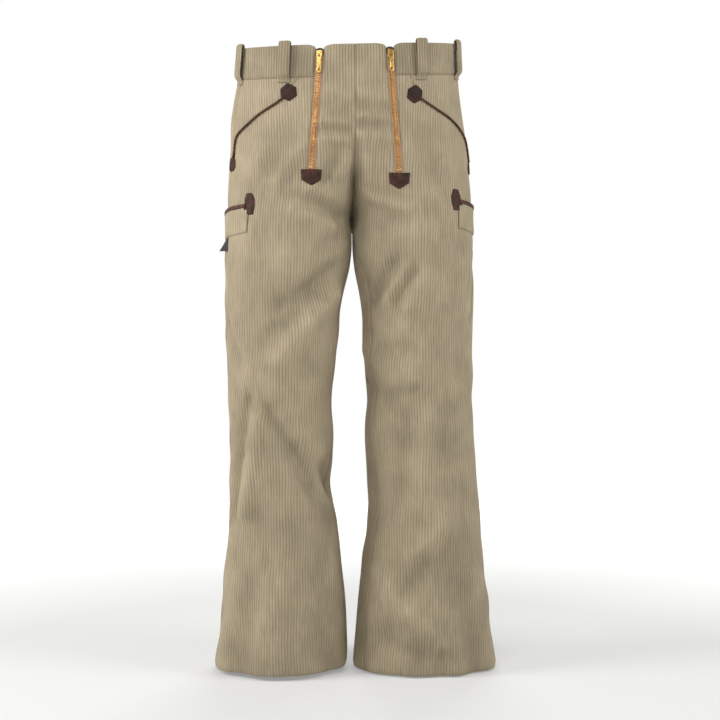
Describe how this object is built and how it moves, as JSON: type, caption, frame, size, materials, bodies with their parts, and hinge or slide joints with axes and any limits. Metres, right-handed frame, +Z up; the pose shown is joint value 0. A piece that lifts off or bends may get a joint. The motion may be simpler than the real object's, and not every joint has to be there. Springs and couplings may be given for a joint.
{
  "type": "corduroy trousers",
  "caption": "Flared work trousers in wide-wale corduroy, filled out and hollow, with a double zip front, belt loops and leather-trimmed pockets",
  "frame": {"origin": "middle of the waist opening, level with the waistband's upper edge at the sides; the wearer holds the garment there", "axes": "+Z up along the legs' length, front facing -Y, wearer's left at +X"},
  "size_m": [0.4817, 0.2549, 1.0839],
  "materials": {
    "corduroy": "wide-wale cotton corduroy, beige, matte with a soft nap",
    "zip_tape": "woven zip tape with a copper-coloured metal chain",
    "brass": "polished brass, lightly worn",
    "leather": "dark brown leather, smooth, semi-matte",
    "tab_cloth": "plain dark woven tab, bare"
  },
  "bodies": {
    "trousers": {"front_right": "corduroy", "front_left": "corduroy", "back_right": "corduroy", "back_left": "corduroy", "hip_right": "corduroy", "hip_left": "corduroy", "waistband_right": "corduroy", "waistband_left": "corduroy", "waistband_back": "corduroy", "loop_front_right": "corduroy", "loop_front_left": "corduroy", "loop_side_right": "corduroy", "loop_side_left": "corduroy", "loop_back": "corduroy", "thigh_pocket_right": "corduroy", "thigh_pocket_left": "corduroy", "zip_right": "zip_tape", "zip_left": "zip_tape", "slider_right": "brass", "slider_left": "brass", "zip_patch_right": "leather", "zip_patch_left": "leather", "mouth_patch_right": "leather", "mouth_patch_left": "leather", "side_patch_right": "leather", "side_patch_left": "leather", "piping_right": "leather", "piping_left": "leather", "binding_right": "leather", "binding_left": "leather", "binding_patch_right": "leather", "binding_patch_left": "leather", "tab": "tab_cloth"},
    "pull_tab_right": {"pull_right": "brass"},
    "pull_tab_left": {"pull_left": "brass"}
  },
  "joints": [
    {"name": "pull_right_hinge", "type": "hinge", "parent": "trousers", "child": "pull_tab_right", "pos_m": [-0.05951, -0.10219, -0.0373], "axis": [-0.9835, 0.1805, 0.0104], "range_deg": [0, 150]},
    {"name": "pull_left_hinge", "type": "hinge", "parent": "trousers", "child": "pull_tab_left", "pos_m": [0.05953, -0.10185, -0.03249], "axis": [-0.9824, -0.1867, 0], "range_deg": [0, 150]}
  ]
}
